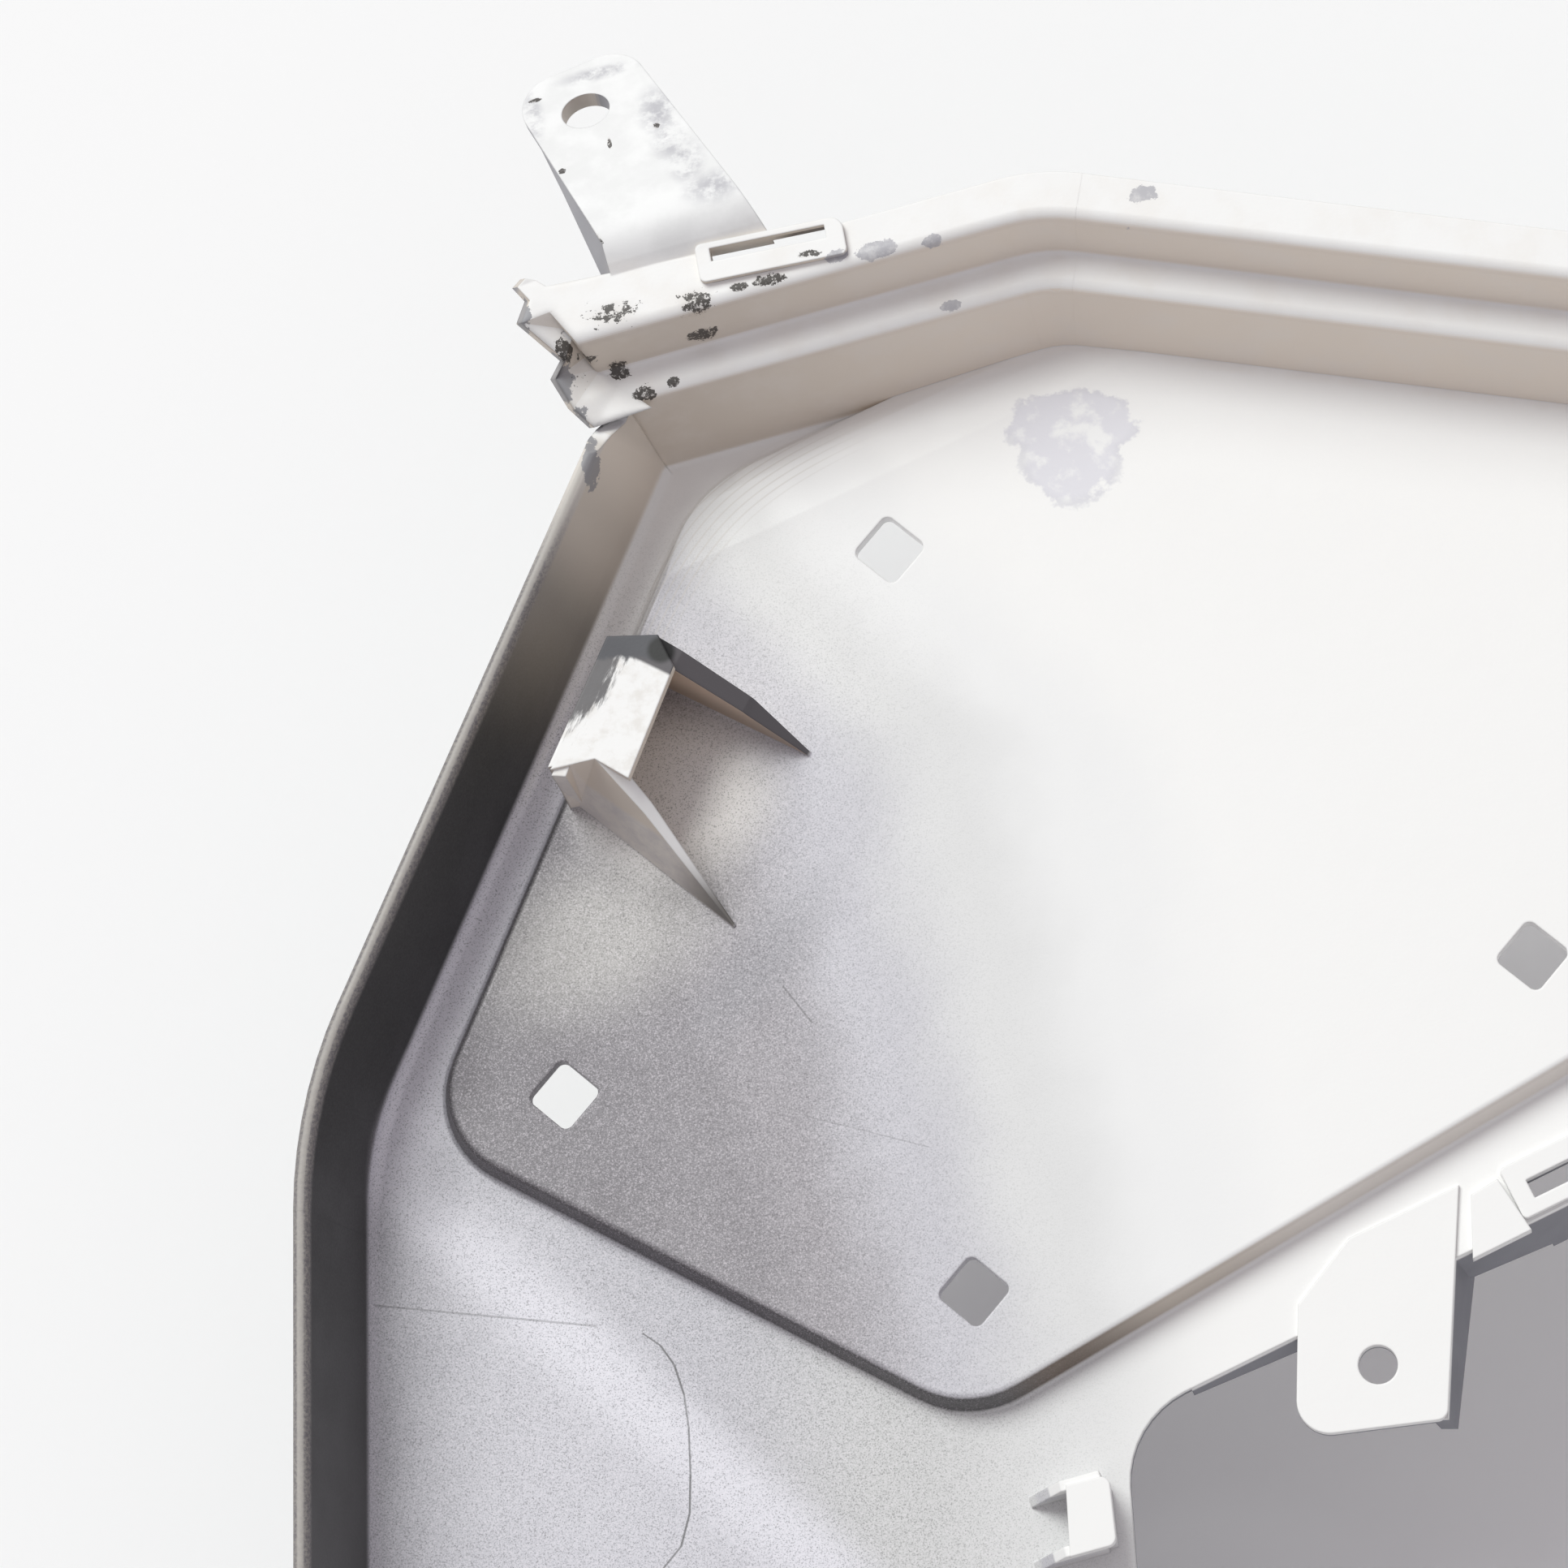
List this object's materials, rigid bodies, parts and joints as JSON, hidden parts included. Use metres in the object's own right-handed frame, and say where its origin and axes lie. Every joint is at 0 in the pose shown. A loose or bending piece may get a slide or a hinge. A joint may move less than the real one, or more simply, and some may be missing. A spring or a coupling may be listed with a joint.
{
  "type": "motorcycle side panel",
  "caption": "Used plastic side panel of a motorcycle seen from its inner side, with a raised plate, stepped rim, tabs and hooks",
  "frame": {"origin": "centre of the seat for the insert, on the outer face of the recess", "axes": "+Z away from the painted outer face, +Y towards the stepped rim, +X along the rim towards its plain end"},
  "size_m": [0.2785, 0.3191, 0.0442],
  "materials": {
    "abs": "satin white ABS with grey overspray, dirt and a grey painted outer side"
  },
  "bodies": {
    "root": {"side_panel": "abs"}
  },
  "joints": []
}
